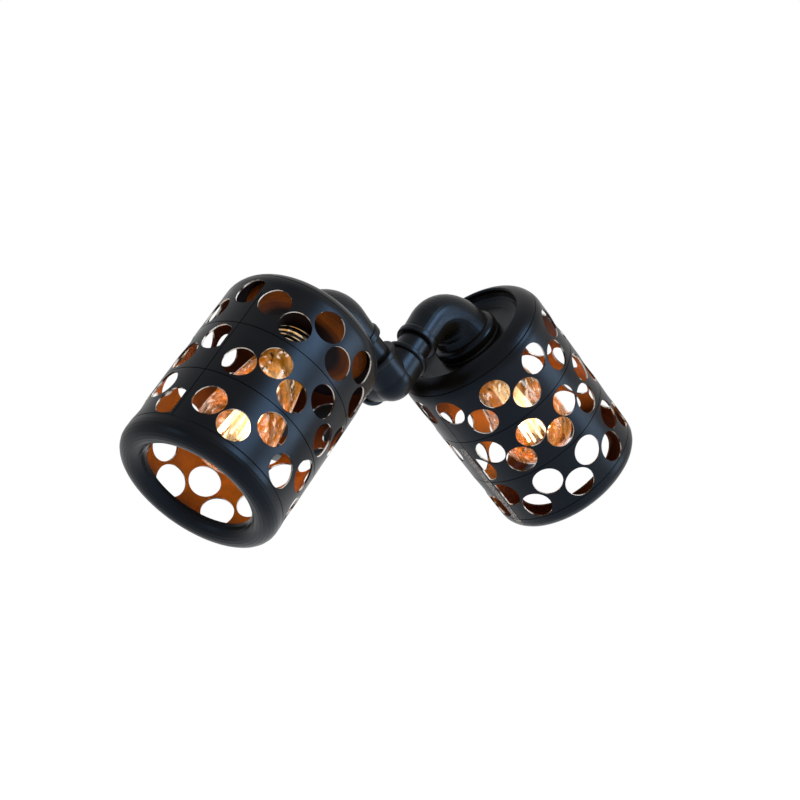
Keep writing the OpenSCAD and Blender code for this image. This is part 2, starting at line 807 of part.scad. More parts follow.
module bulb_glass(side) {
    swell = 12;
    neck_start = bulb_base_end - 6;
    swell_zs = [for (i = [0:swell - 1]) bulb_base_end + (bulb_mid - bulb_base_end) * i / swell];
    outer = concat(
        [[bulb_neck_r, neck_start]],
        [for (z = swell_zs) [glass_radius(z), z]],
        arc(0, bulb_mid, bulb_r, 0, 90, 12));
    inner = concat(
        arc(0, bulb_mid, bulb_r - bulb_wall, 90, 0, 12),
        [for (i = [swell - 1:-1:0]) [glass_radius(swell_zs[i]) - bulb_wall, swell_zs[i]]],
        [[bulb_neck_r - bulb_wall, neck_start]]);
    color(GLASS)
        on_shade(side)
            rotate_extrude()
                polygon(concat(outer, inner));
}

// Glass stem with the light-emitting sticks round it
module bulb_filament(side) {
    foot_r = bulb_neck_r - bulb_wall - 0.1;
    plate = 0.8;
    color(BRASS)
        on_shade(side) {
            rod(foot_r, bulb_base_end - 2, bulb_base_end);
            rod(3.5, bulb_base_end - 1, filament_high);
            for (z = [filament_low, filament_high - plate])
                rod(filament_ring_r, z, z + plate);
            for (i = [0:filaments - 1])
                rotate([0, 0, 360 * i / filaments])
                    translate([filament_ring_r - 2 * filament_r, 0, 0])
                        rod(filament_r, filament_low + plate / 2, filament_high - plate / 2);
        }
}

wall_gasket();
mounting_bracket();
ground_screw();
canopy_studs();
canopy_cap_nuts();
wall_canopy();
pipe_grommet();
wall_pipe();
pipe_locknuts();
centre_fitting();
arm_nipple(LEFT);  // left_arm_nipple
elbow(LEFT);  // left_elbow
set_screw(LEFT);  // left_set_screw
stem_tube(LEFT);  // left_stem_tube
hub_gasket(LEFT);  // left_hub_gasket
shade_cap(LEFT);  // left_shade_cap
shade_body(LEFT);  // left_shade_body
shade_ring(LEFT);  // left_shade_ring
washer(LEFT);  // left_washer
stem_nut(LEFT);  // left_stem_nut
holder_cap(LEFT);  // left_holder_cap
lamp_holder(LEFT);  // left_lamp_holder
screw_shell(LEFT);  // left_screw_shell
centre_contact(LEFT);  // left_centre_contact
bulb_base(LEFT);  // left_bulb_base
bulb_glass(LEFT);  // left_bulb_glass
bulb_filament(LEFT);  // left_bulb_filament
arm_nipple(RIGHT);  // right_arm_nipple
elbow(RIGHT);  // right_elbow
set_screw(RIGHT);  // right_set_screw
stem_tube(RIGHT);  // right_stem_tube
hub_gasket(RIGHT);  // right_hub_gasket
shade_cap(RIGHT);  // right_shade_cap
shade_body(RIGHT);  // right_shade_body
shade_ring(RIGHT);  // right_shade_ring
washer(RIGHT);  // right_washer
stem_nut(RIGHT);  // right_stem_nut
holder_cap(RIGHT);  // right_holder_cap
lamp_holder(RIGHT);  // right_lamp_holder
screw_shell(RIGHT);  // right_screw_shell
centre_contact(RIGHT);  // right_centre_contact
bulb_base(RIGHT);  // right_bulb_base
bulb_glass(RIGHT);  // right_bulb_glass
bulb_filament(RIGHT);  // right_bulb_filament
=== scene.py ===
import json
import math

import bmesh
import bpy
from mathutils import Matrix, Vector


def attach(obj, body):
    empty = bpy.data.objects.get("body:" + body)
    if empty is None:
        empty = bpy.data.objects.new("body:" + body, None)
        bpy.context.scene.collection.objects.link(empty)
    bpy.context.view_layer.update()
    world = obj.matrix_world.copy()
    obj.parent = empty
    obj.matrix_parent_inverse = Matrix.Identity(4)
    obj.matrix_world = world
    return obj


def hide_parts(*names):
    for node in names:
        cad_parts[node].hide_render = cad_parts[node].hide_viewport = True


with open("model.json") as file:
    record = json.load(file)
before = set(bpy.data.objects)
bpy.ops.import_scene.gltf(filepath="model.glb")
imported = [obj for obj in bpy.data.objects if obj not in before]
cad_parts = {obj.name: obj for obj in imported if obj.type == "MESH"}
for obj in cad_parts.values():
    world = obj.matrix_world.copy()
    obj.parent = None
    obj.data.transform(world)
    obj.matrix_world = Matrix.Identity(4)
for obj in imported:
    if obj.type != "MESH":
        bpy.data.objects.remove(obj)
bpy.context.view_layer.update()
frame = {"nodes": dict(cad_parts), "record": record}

bl_info = {
    "name": "Pipe wall sconce",
    "version": (1, 0, 0),
    "blender": (4, 5, 0),
    "location": "3D View > Sidebar > Sconce",
    "description": "Dresses the packed outdoor wall sconce and sets its stage",
    "category": "Object",
}

NODES = frame["nodes"]
SIDES = {"left": -1, "right": 1}
HALF = math.sqrt(0.5)
PIVOT = frame["record"]["behaviour"]["joints"][0]["pos_m"]
WHITE = (1, 1, 1, 1)
# The black paint's sheen is bluer than its lamps
GLOSS_TINT = (0.34, 0.6, 1, 1)
# Place, width, watts and colour of each soft lamp of the studio
SOFTBOXES = {
    "front": ((1.3, -1.78, 0.05), 0.95, 26, (0.8, 0.92, 1)),
    "high": ((0.435, -1.877, 1.08), 0.95, 46, (0.8, 0.92, 1)),
    "side": ((-1.9, 0.1, 0.2), 0.8, 4, (1, 0.97, 0.92)),
}
FLOOR_HEIGHT = -0.75
# How strongly the room lights the lamp, where 1 is the white that the camera sees
ROOM_LIGHT = 0.45
BULB_WATTS = 0.45
BULB_LIGHT_RADIUS = 0.012
# Depth of the screw base's rolled thread, where it starts above the contact, and how much of
# the base's length it leaves plain
THREAD_DEPTH = 0.0009
THREAD_START = 0.0066
PLAIN_LENGTH = 0.0105
BUTTON_RADIUS = 0.0045
# Rounded lip between the cap's crest and the wall of its dished recess
DISH_LIP = 0.0012
# Half the width of the grooves and the seam, where the bright cut edge of a hole breaks off
LINE_HALF = 0.0005
# Turned edge, wall, stem bore and groove of a lamp holder's top shell
HOLDER_EDGE = 0.0025
HOLDER_WALL = 0.0025
HOLDER_BORE = 0.0053
GROOVE_RISE = 0.0032
GROOVE_DEPTH = 0.0009
GROOVE_HALF = 0.0006
# Radii of the circles on which the light-emitting sticks stand and end, their twist between
# the two, their own radius and that of their lead wires
STICK_FOOT = 0.007
STICK_HEAD = 0.0105
STICK_TWIST = 0.4
STICK_RADIUS = 0.0012
WIRE_RADIUS = 0.0003
# Half the length over which the bulb's flare bends into its widest ring
FLARE_EASE = 0.008
# 1 would make the bulb's dome an ellipse, and less makes it blunter
DOME_POWER = 2 / 3


class SconceSizes(bpy.types.PropertyGroup):
    reach: bpy.props.FloatProperty(
        name="Reach", description="From the wall to the centre fitting",
        default=-PIVOT[1], min=0.05, max=0.2, unit="LENGTH")
    arm: bpy.props.FloatProperty(
        name="Arm", description="From the centre fitting to a shade's axis",
        default=0.085, min=0.05, max=0.15, unit="LENGTH")
    shade_radius: bpy.props.FloatProperty(
        name="Shade radius", description="Outer radius of a shade",
        default=0.065, min=0.04, max=0.1, unit="LENGTH")
    sheet: bpy.props.FloatProperty(
        name="Sheet", description="Thickness of the shade's sheet",
        default=0.0015, min=0.0005, max=0.003, unit="LENGTH")
    cap_top: bpy.props.FloatProperty(
        name="Cap top", description="From the arm's axis to a shade's closed top",
        default=0.0295, min=0.02, max=0.04, unit="LENGTH")
    cap_floor: bpy.props.FloatProperty(
        name="Cap floor", description="From the arm's axis to the floor of the cap's recess",
        default=0.0415, min=0.03, max=0.05, unit="LENGTH")
    shoulder: bpy.props.FloatProperty(
        name="Shoulder", description="Radius of the rounded shoulder at the closed top",
        default=0.019, min=0.01, max=0.03, unit="LENGTH")
    recess: bpy.props.FloatProperty(
        name="Recess", description="Radius of the dished recess in the cap",
        default=0.052, min=0.04, max=0.06, unit="LENGTH")
    body_start: bpy.props.FloatProperty(
        name="Body start", description="From the arm's axis to the seam under the cap",
        default=0.0405, min=0.03, max=0.06, unit="LENGTH")
    body_end: bpy.props.FloatProperty(
        name="Body end", description="From the arm's axis to the seam above the ring",
        default=0.1831, min=0.15, max=0.2, unit="LENGTH")
    mouth: bpy.props.FloatProperty(
        name="Mouth", description="From the arm's axis to the rim of the mouth",
        default=0.198, min=0.15, max=0.25, unit="LENGTH")
    bead: bpy.props.FloatProperty(
        name="Bead", description="Radius of the rolled bead round the mouth",
        default=0.0105, min=0.005, max=0.02, unit="LENGTH")
    first_band: bpy.props.FloatProperty(
        name="First band", description="From the body's start to the first band of holes",
        default=0.0272, min=0.01, max=0.04, unit="LENGTH")
    band_pitch: bpy.props.FloatProperty(
        name="Band pitch", description="Distance between the bands of holes",
        default=0.0469, min=0.03, max=0.06, unit="LENGTH")
    left_seam: bpy.props.FloatProperty(
        name="Left seam", description="Turn of the left sheet's long seam",
        default=math.radians(159), subtype="ANGLE")
    right_seam: bpy.props.FloatProperty(
        name="Right seam", description="Turn of the right sheet's long seam",
        default=math.radians(7), subtype="ANGLE")
    bulb_radius: bpy.props.FloatProperty(
        name="Bulb radius", description="Largest radius of the bulb",
        default=0.0305, min=0.02, max=0.04, unit="LENGTH")
    bulb_start: bpy.props.FloatProperty(
        name="Bulb start", description="From the arm's axis to the bulb's contact",
        default=0.0543, min=0.04, max=0.08, unit="LENGTH")
    bulb_end: bpy.props.FloatProperty(
        name="Bulb end", description="From the arm's axis to the domed end of the bulb",
        default=0.166, min=0.14, max=0.175, unit="LENGTH")
    flare_end: bpy.props.FloatProperty(
        name="Flare end", description="From the arm's axis to where the bulb's flare ends",
        default=0.1275, min=0.11, max=0.14, unit="LENGTH")
    flare: bpy.props.FloatProperty(
        name="Flare", description="Lean of the bulb's straight side to its axis",
        default=math.radians(10.5), min=0.05, max=0.5, subtype="ANGLE")
    neck_radius: bpy.props.FloatProperty(
        name="Neck radius", description="Radius of the glass where it meets the holder",
        default=0.0213, min=0.0206, max=0.025, unit="LENGTH")
    neck_start: bpy.props.FloatProperty(
        name="Neck start", description="From the arm's axis to the rim of the bulb's glass",
        default=0.0665, min=0.06, max=0.08, unit="LENGTH")
    glass_wall: bpy.props.FloatProperty(
        name="Glass wall", description="Thickness of the bulb's glass",
        default=0.0006, min=0.0004, max=0.002, unit="LENGTH")
    base_length: bpy.props.FloatProperty(
        name="Base length", description="Length of the bulb's screw base",
        default=0.025, min=0.02, max=0.03, unit="LENGTH")
    base_radius: bpy.props.FloatProperty(
        name="Base radius", description="Outer radius of the bulb's screw base",
        default=0.013, min=0.01, max=0.015, unit="LENGTH")
    thread_pitch: bpy.props.FloatProperty(
        name="Thread pitch", description="Pitch of the bulb's screw base",
        default=0.0036, min=0.002, max=0.005, unit="LENGTH")
    stick_rise: bpy.props.FloatProperty(
        name="Stick rise", description="From the bulb's base to the light-emitting sticks",
        default=0.01, min=0.005, max=0.02, unit="LENGTH")
    stick_length: bpy.props.FloatProperty(
        name="Stick length", description="Length of the light-emitting sticks",
        default=0.058, min=0.02, max=0.06, unit="LENGTH")
    holder_start: bpy.props.FloatProperty(
        name="Holder start", description="From the arm's axis to the lamp holder's closed top",
        default=0.0472, min=0.04, max=0.06, unit="LENGTH")
    holder_seam: bpy.props.FloatProperty(
        name="Holder seam",
        description="From the arm's axis to the seam between the holder's halves",
        default=0.0562, min=0.05, max=0.07, unit="LENGTH")
    holder_radius: bpy.props.FloatProperty(
        name="Holder radius", description="Outer radius of the lamp holder's rings",
        default=0.0205, min=0.015, max=0.025, unit="LENGTH")
    ring_pitch: bpy.props.FloatProperty(
        name="Ring pitch", description="Distance between the lamp holder's rings",
        default=0.0036, min=0.003, max=0.006, unit="LENGTH")
    sticks: bpy.props.IntProperty(
        name="Sticks", description="Light-emitting sticks in a bulb", default=10, min=4, max=16)


class SconceColours(bpy.types.PropertyGroup):
    cast: bpy.props.FloatVectorProperty(
        name="Cast paint", description="Black paint on the cast fittings",
        subtype="COLOR", size=4, min=0, max=1, default=(0.0034, 0.0024, 0.0012, 1))
    sheet: bpy.props.FloatVectorProperty(
        name="Sheet paint", description="Black paint on the shades",
        subtype="COLOR", size=4, min=0, max=1, default=(0.0034, 0.0023, 0.0011, 1))
    inside: bpy.props.FloatVectorProperty(
        name="Inside", description="Copper brown finish inside the shades",
        subtype="COLOR", size=4, min=0, max=1, default=(0.4, 0.105, 0.003, 1))
    # Painted shade: the lining is painted this maroon where the bulb's light is taken not to reach
    # it
    shadow: bpy.props.FloatVectorProperty(
        name="Inside shadow", description="Maroon where the lining wasn't burnished",
        subtype="COLOR", size=4, min=0, max=1, default=(0.035, 0.007, 0.002, 1))
    glass: bpy.props.FloatVectorProperty(
        name="Glass", description="Amber glass of the bulbs",
        subtype="COLOR", size=4, min=0, max=1, default=(0.6, 0.205, 0.008, 1))
    glow: bpy.props.FloatVectorProperty(
        name="Glow", description="Warm light of the bulbs",
        subtype="COLOR", size=4, min=0, max=1, default=(1.0, 0.62, 0.28, 1))
    background: bpy.props.FloatVectorProperty(
        name="Background", description="Colour behind the lamp",
        subtype="COLOR", size=4, min=0, max=1, default=WHITE)


class SconceView(bpy.types.PropertyGroup):
    azimuth: bpy.props.FloatProperty(
        name="Azimuth", description="Turn of the view about the upright axis",
        default=math.radians(-43.81), subtype="ANGLE")
    elevation: bpy.props.FloatProperty(
        name="Elevation", description="Height of the view above the horizon",
        default=math.radians(-3.24), subtype="ANGLE")
    roll: bpy.props.FloatProperty(
        name="Roll", description="Turn of the picture about the line of sight",
        default=math.radians(-3.61), subtype="ANGLE")
    distance: bpy.props.FloatProperty(
        name="Distance", description="From the camera to the centre fitting",
        default=1.551, min=0.5, max=5, unit="LENGTH")
    aside: bpy.props.FloatProperty(
        name="Aside", description="Place of the centre fitting right of the picture's middle",
        default=-0.0066, min=-0.2, max=0.2, unit="LENGTH")
    below: bpy.props.FloatProperty(
        name="Below", description="Place of the centre fitting under the picture's middle",
        default=-0.0157, min=-0.2, max=0.2, unit="LENGTH")
    lens: bpy.props.FloatProperty(
        name="Lens", description="Focal length on a 36 mm sensor",
        default=90, min=20, max=200, unit="CAMERA")


def sizes():
    return bpy.context.scene.sconce_sizes


def colours():
    return bpy.context.scene.sconce_colours


def shade_frame(side):
    """From a shade's own frame, whose z runs down its axis from the arm, to the lamp's frame."""
    s = sizes()
    turn = Matrix(((-side * HALF, 0, side * HALF), (0, side, 0), (-HALF, 0, -HALF))).to_4x4()
    return Matrix.Translation((side * s.arm * HALF, -s.reach, s.arm * HALF)) @ turn


# Materials

class Finish:
    """A material with its node tree and the few node chains that the finishes here share."""

    def __init__(self, name):
        self.material = bpy.data.materials.new(name)
        self.material.use_nodes = True
        self.tree = self.material.node_tree
        self.surface = self.tree.nodes["Principled BSDF"]
        self.output = self.tree.nodes["Material Output"]
        self.place = self.add("ShaderNodeTexCoord").outputs["Object"]

    def add(self, kind, **inputs):
        node = self.tree.nodes.new(kind)
        for key, value in inputs.items():
            self.feed(node, key, value)
        return node

    def feed(self, node, key, value):
        socket = node.inputs[int(key[2:])] if key.startswith("at") else node.inputs[key]
        if isinstance(value, bpy.types.NodeSocket):
            self.tree.links.new(value, socket)
        else:
            socket.default_value = value

    def math(self, operation, *values, clamp=False):
        node = self.add("ShaderNodeMath")
        node.operation = operation
        node.use_clamp = clamp
        for i, value in enumerate(values):
            self.feed(node, f"at{i}", value)
        return node.outputs[0]

    def length(self, x, y):
        return self.math("SQRT", self.math("ADD", self.math("MULTIPLY", x, x),
                                           self.math("MULTIPLY", y, y)))

    def blend(self, factor, a, b):
        """a where factor is 0 and b where it is 1."""
        return self.math("ADD", self.math("MULTIPLY", b, factor),
                         self.math("MULTIPLY", a, self.math("SUBTRACT", 1.0, factor)))

    def vector(self, operation, *values):
        node = self.add("ShaderNodeVectorMath")
        node.operation = operation
        for i, value in enumerate(values):
            self.feed(node, f"at{i}", value)
        return node.outputs["Value" if operation == "DOT_PRODUCT" else "Vector"]

    def noise(self, scale, detail, stretch=(1, 1, 1), turn=(0, 0, 0)):
        mapping = self.add("ShaderNodeMapping", Vector=self.place, Scale=stretch, Rotation=turn)
        node = self.add("ShaderNodeTexNoise", Vector=mapping.outputs[0], Scale=scale, Detail=detail)
        return node.outputs["Fac"]

    def ramp(self, value, low, high, to_low, to_high):
        node = self.add("ShaderNodeMapRange", Value=value)
        for key, number in (("From Min", low), ("From Max", high),
                            ("To Min", to_low), ("To Max", to_high)):
            node.inputs[key].default_value = number
        return node.outputs[0]

    def mix(self, factor, a, b):
        node = self.add("ShaderNodeMix")
        node.data_type = "RGBA"
        self.feed(node, "at0", factor)
        self.feed(node, "at6", a)
        self.feed(node, "at7", b)
        return node.outputs[2]

    def bump(self, height, depth, strength, below=None):
        node = self.add("ShaderNodeBump", Height=height, Distance=depth, Strength=strength)
        if below is not None:
            self.feed(node, "Normal", below)
        return node.outputs[0]

    def set(self, **values):
        for key, value in values.items():
            self.feed(self.surface, key.replace("_", " "), value)
        return self


def tinted(colour, factor):
    return tuple(min(1, c * factor) for c in colour[:3]) + (1,)


def cast_paint():
    """Satin black paint over fine sand-cast grain."""
    f = Finish("cast_black_paint")
    base = tuple(colours().cast)
    grain = f.noise(900, 4)
    lumps = f.noise(120, 2)
    f.set(Base_Color=f.mix(f.ramp(lumps, 0.35, 0.7, 0, 1), base, tinted(base, 1.7)),
          Roughness=f.ramp(grain, 0.3, 0.7, 0.28, 0.38), Specular_IOR_Level=0.14)
    f.surface.inputs["Specular Tint"].default_value = GLOSS_TINT
    f.set(Normal=f.bump(grain, 0.00012, 0.12, f.bump(lumps, 0.0012, 0.06)))
    return f.material


def sheet_paint():
    """Satin black paint on smooth sheet, all over."""
    f = Finish("sheet_black_paint")
    outside_of(f)
    return f.material


def outside_of(f):
    """Satin black paint on smooth sheet, over which a shade's piece adds its lining."""
    base = tuple(colours().sheet)
    peel = f.noise(700, 2)
    cloud = f.noise(35, 3)
    f.set(Base_Color=f.mix(f.ramp(cloud, 0.35, 0.7, 0, 1), base, tinted(base, 1.6)),
          Roughness=f.ramp(cloud, 0.3, 0.7, 0.28, 0.38), Specular_IOR_Level=0.12)
    f.surface.inputs["Specular Tint"].default_value = GLOSS_TINT
    f.set(Normal=f.bump(peel, 0.00004, 0.12))


class ShadePlace:
    """Where a point of a shade lies: along its axis, off its axis, and its turn round it."""

    def __init__(self, f, side_name):
        frame_of = shade_frame(SIDES[side_name])
        turn = frame_of.to_3x3()
        self.f = f
        self.offset = f.vector("SUBTRACT", f.place, frame_of.translation[:])
        self.x, self.y, self.along = (
            f.vector("DOT_PRODUCT", self.offset, (turn @ Vector(way))[:])
            for way in ((1, 0, 0), (0, 1, 0), (0, 0, 1)))
        self.off = f.length(self.x, self.y)

    def turned(self, angle):
        """Arc length from a line along the sheet at that angle, for points near it."""
        s = sizes()
        f = self.f
        across = f.math("SUBTRACT", f.math("MULTIPLY", self.y, math.cos(angle)),
                        f.math("MULTIPLY", self.x, math.sin(angle)))
        ahead = f.math("ADD", f.math("MULTIPLY", self.x, math.cos(angle)),
                       f.math("MULTIPLY", self.y, math.sin(angle)))
        return f.math("MULTIPLY", f.math("ARCTAN2", across, ahead), s.shade_radius)

    def near(self, value, middle, half):
        f = self.f
        return f.math("LESS_THAN", f.math("ABSOLUTE", f.math("SUBTRACT", value, middle)), half)


def lined(f, is_lined, bulb_light_share, dark=1.0):
    """Puts the copper brown of the shade's inside over a finish where is_lined is 1.

    The lining is painted in shade by its share of bulb light: below 1 it darkens towards the maroon
    shadow colour, times dark, and at 0 it is that colour alone."""
    streaks = f.noise(60, 4)
    specks = f.noise(1400, 2)
    inside = tuple(colours().inside)
    lining = f.mix(f.ramp(streaks, 0.35, 0.65, 0, 1), inside, tinted(inside, 0.7))
    lining = f.mix(f.ramp(specks, 0.4, 0.75, 0, 0.5), lining, tinted(inside, 0.35))
    # Painted shade: the less bulb light share, the more of the maroon shadow colour
    lining = f.mix(bulb_light_share, tinted(tuple(colours().shadow), dark), lining)
    paint = f.surface.inputs["Base Color"].links[0].from_socket
    dull = f.surface.inputs["Roughness"].links[0].from_socket
    f.set(Base_Color=f.mix(is_lined, paint, lining),
          Roughness=f.math("ADD", dull, f.math("MULTIPLY", is_lined, 0.25)))


def shade_cap(side_name):
    """Black outside and copper brown under the shoulder and the recess, with painted bulb light and
    shade on that lining.
    """
    s = sizes()
    f = Finish(f"{side_name}_cap_finish")
    outside_of(f)
    at = ShadePlace(f, side_name)
    middle_r = s.shade_radius - s.shoulder
    middle_z = s.cap_top + s.shoulder
    crest_z = middle_z - math.sqrt(s.shoulder ** 2 - (s.recess - middle_r) ** 2)
    dish = s.cap_floor - crest_z
    torus = f.length(f.math("SUBTRACT", at.off, middle_r), f.math("SUBTRACT", at.along, middle_z))
    bowl = f.length(f.math("MAXIMUM", f.math("SUBTRACT", at.off, s.recess - dish), 0.0),
                    f.math("SUBTRACT", at.along, crest_z + DISH_LIP))
    below = f.math("GREATER_THAN", at.along, crest_z + DISH_LIP)
    in_shoulder = f.math("LESS_THAN", torus, s.shoulder - s.sheet / 2)
    in_bowl = f.math("MULTIPLY", below,
                     f.math("GREATER_THAN", bowl, dish - DISH_LIP + s.sheet / 2))
    is_shoulder = f.math("GREATER_THAN", at.off, s.recess - 0.0004)
    # Painted bulb light on the lining under the recess: none within 31 mm of the axis, a third by
    # 36 mm, about two thirds beyond 40.5 mm, and none inside the shoulder. Where it is low the
    # lining is painted in deep shade, its shadow colour a fifth as strong.
    floor_bulb_light = f.ramp(at.off, 0.031, 0.036, 0, 0.34)
    floor_bulb_light = f.math("ADD", floor_bulb_light, f.ramp(at.off, 0.0385, 0.0405, 0, 0.3))
    lined(f, f.blend(is_shoulder, in_bowl, in_shoulder),
          f.math("MULTIPLY", floor_bulb_light, f.math("SUBTRACT", 1.0, is_shoulder)), 0.2)
    return f.material


def shade_ring(side_name):
    """Black bead; in the hollow behind it the copper brown lining is painted mostly in shade."""
    s = sizes()
    f = Finish(f"{side_name}_ring_finish")
    outside_of(f)
    at = ShadePlace(f, side_name)
    bead = f.length(f.math("SUBTRACT", at.off, s.shade_radius - s.bead),
                    f.math("MAXIMUM", f.math("SUBTRACT", at.along, s.mouth - s.bead), 0.0))
    # Painted shade: the lining here gets a bulb light share of 0.15, so it is mostly the maroon
    # shadow colour
    lined(f, f.math("LESS_THAN", bead, s.bead - s.sheet / 2), 0.15)
    if side_name == "right":
        rough_grey_strip(f, at)
    return f.material


def shade_sheet(side_name):
    """Black outside, copper brown inside with painted bulb light and shade along it, and a thin
    bright cut edge in every hole.
    """
    s = sizes()
    f = Finish(f"{side_name}_shade_finish")
    outside_of(f)
    at = ShadePlace(f, side_name)
    middle_r = s.shade_radius - s.shoulder
    skin = f.length(f.math("SUBTRACT", at.off, middle_r),
                    f.math("MINIMUM", f.math("SUBTRACT", at.along, s.cap_top + s.shoulder), 0.0))
    # Painted bulb light along the lining: a share of 0.08 up to 70 mm from the arm, rising to 1 by
    # 125 mm, down again to 0.3 between 168 and 183 mm; where it is low the lining is painted in
    # shade.
    rise = f.ramp(at.along, 0.07, 0.125, 0.08, 1)
    fall = f.ramp(at.along, 0.168, 0.183, 1, 0.3)
    lined(f, f.math("LESS_THAN", skin, s.shoulder - s.sheet + 0.0002),
          f.math("MULTIPLY", rise, fall))
    edge = f.math("MULTIPLY", f.math("GREATER_THAN", skin, s.shoulder - s.sheet + 0.0002),
                  f.math("LESS_THAN", skin, s.shoulder - 0.00012))
    for i in range(2):
        edge = f.math("SUBTRACT", edge, at.near(
            at.along, s.body_start + s.first_band + (i + 0.5) * s.band_pitch, LINE_HALF),
            clamp=True)
    seam = s.left_seam if side_name == "left" else s.right_seam
    edge = f.math("SUBTRACT", edge, at.near(at.turned(seam), 0.0, LINE_HALF), clamp=True)
    edge = f.math("MULTIPLY", edge, at.near(at.along, (s.body_start + s.body_end) / 2,
                                            (s.body_end - s.body_start) / 2 - 0.0008))
    scratched = f.noise(800, 3)
    metal = f.mix(f.ramp(scratched, 0.3, 0.7, 0, 1), (0.9, 0.88, 0.84, 1), (0.6, 0.54, 0.46, 1))
    metal = f.mix(f.ramp(f.noise(75, 2), 0.47, 0.56, 0, 1), (0.03, 0.016, 0.01, 1), metal)
    f.set(Base_Color=f.mix(edge, f.surface.inputs["Base Color"].links[0].from_socket, metal))
    if side_name == "right":
        rough_grey_strip(f, at)
    return f.material


def rough_grey_strip(f, at):
    """Coarse pale grey strip beside the right sheet's seam on its outer face, from 70 mm past the
    cap's top, rougher and with a rough bump.
    """
    s = sizes()
    along_seam = at.turned(s.right_seam)
    wander = f.math("MULTIPLY", f.math("SUBTRACT", f.noise(260, 2), 0.5), 0.004)
    across = f.math("ADD", along_seam, wander)
    strip = at.near(across, 0.0046, 0.0038)
    strip = f.math("MULTIPLY", strip, f.math("GREATER_THAN", at.along, s.cap_top + 0.07))
    strip = f.math("MULTIPLY", strip, f.math("GREATER_THAN", at.off, s.shade_radius - 0.0012))
    crumbs = f.noise(1100, 4)
    grey = f.mix(f.ramp(crumbs, 0.4, 0.62, 0, 1), (0.02, 0.017, 0.015, 1), (0.5, 0.44, 0.4, 1))
    f.set(Base_Color=f.mix(strip, f.surface.inputs["Base Color"].links[0].from_socket, grey),
          Roughness=f.math("ADD", f.surface.inputs["Roughness"].links[0].from_socket,
                           f.math("MULTIPLY", strip, 0.35)))
    below = f.surface.inputs["Normal"].links[0].from_socket
    f.set(Normal=f.bump(f.math("MULTIPLY", strip, crumbs), 0.0008, 0.8, below))


def rubber():
    """Matt black rubber of the gaskets."""
    f = Finish("black_rubber")
    grain = f.noise(1500, 2)
    f.set(Base_Color=f.mix(grain, (0.012, 0.012, 0.012, 1), (0.03, 0.03, 0.03, 1)),
          Roughness=f.ramp(grain, 0.3, 0.7, 0.6, 0.8), Normal=f.bump(grain, 0.0001, 0.3))
    return f.material


def zinc():
    """Zinc plate, brushed and clouded."""
    f = Finish("zinc_plate")
    cloud = f.noise(90, 4)
    brushed = f.noise(500, 2, stretch=(1, 1, 8))
    f.set(Base_Color=f.mix(cloud, (0.5, 0.51, 0.52, 1), (0.68, 0.67, 0.62, 1)),
          Roughness=f.ramp(brushed, 0.3, 0.7, 0.25, 0.45), Metallic=1.0,
          Normal=f.bump(brushed, 0.00005, 0.3))
    return f.material


def green_screw():
    """Green of a ground screw."""
    f = Finish("ground_green")
    cloud = f.noise(300, 3)
    f.set(Base_Color=f.mix(cloud, (0.02, 0.16, 0.05, 1), (0.04, 0.26, 0.09, 1)),
          Roughness=f.ramp(cloud, 0.3, 0.7, 0.25, 0.4), Metallic=0.3)
    return f.material


def moulding():
    """Glossy black phenolic of the lamp holders."""
    f = Finish("black_moulding")
    flow = f.noise(200, 3)
    f.set(Base_Color=f.mix(flow, (0.006, 0.006, 0.006, 1), (0.014, 0.013, 0.012, 1)),
          Roughness=f.ramp(flow, 0.3, 0.7, 0.16, 0.28), Normal=f.bump(flow, 0.0002, 0.15))
    return f.material


def moulding_with_painted_gleam(side_name):
    """The same black, with painted highlights on the ring edges: golden colour, metal and glow
    where the bulb's light would catch them from below.
    """
    s = sizes()
    f = Finish(f"{side_name}_moulding_with_painted_gleam")
    flow = f.noise(200, 3)
    at = ShadePlace(f, side_name)
    # Painted highlight: thin bands at the holder's top edge and at five ring edges, broken up by
    # noise and kept to the outer face, get a golden colour, metal and glow
    painted_gleam = at.near(at.along, s.holder_start + 0.0004, 0.0012)
    for i in range(5):
        painted_gleam = f.math("MAXIMUM", painted_gleam, at.near(
            at.along, s.holder_seam - 0.003 + i * s.ring_pitch, 0.0008 - 0.0004 * (i % 2)))
    painted_gleam = f.math("MULTIPLY", painted_gleam, f.ramp(f.noise(150, 2), 0.42, 0.5, 0.1, 1))
    painted_gleam = f.math("MULTIPLY", painted_gleam, f.math("GREATER_THAN", at.off, 0.0185))
    painted_gleam_colour = f.mix(f.ramp(flow, 0.4, 0.6, 0, 1), (1, 0.5, 0.12, 1), (1, 0.86, 0.6, 1))
    f.set(Base_Color=f.mix(painted_gleam, (0.006, 0.006, 0.006, 1), painted_gleam_colour),
          Roughness=f.ramp(flow, 0.3, 0.7, 0.12, 0.24), Metallic=painted_gleam,
          Emission_Color=painted_gleam_colour, Emission_Strength=f.math("MULTIPLY", painted_gleam, 0.55),
          Normal=f.bump(flow, 0.0002, 0.15))
    return f.material


def brass():
    """Brass of the lamp holders' contacts."""
    f = Finish("contact_brass")
    cloud = f.noise(150, 4)
    f.set(Base_Color=f.mix(cloud, (0.62, 0.4, 0.13, 1), (0.85, 0.62, 0.28, 1)),
          Roughness=f.ramp(cloud, 0.3, 0.7, 0.2, 0.35), Metallic=1.0)
    return f.material


def base_metal():
    """Pale metal of the bulbs' screw bases."""
    f = Finish("bulb_base_metal")
    cloud = f.noise(180, 4)
    f.set(Base_Color=f.mix(cloud, (0.62, 0.58, 0.5, 1), (0.8, 0.76, 0.68, 1)),
          Roughness=f.ramp(cloud, 0.3, 0.7, 0.22, 0.36), Metallic=1.0)
    return f.material


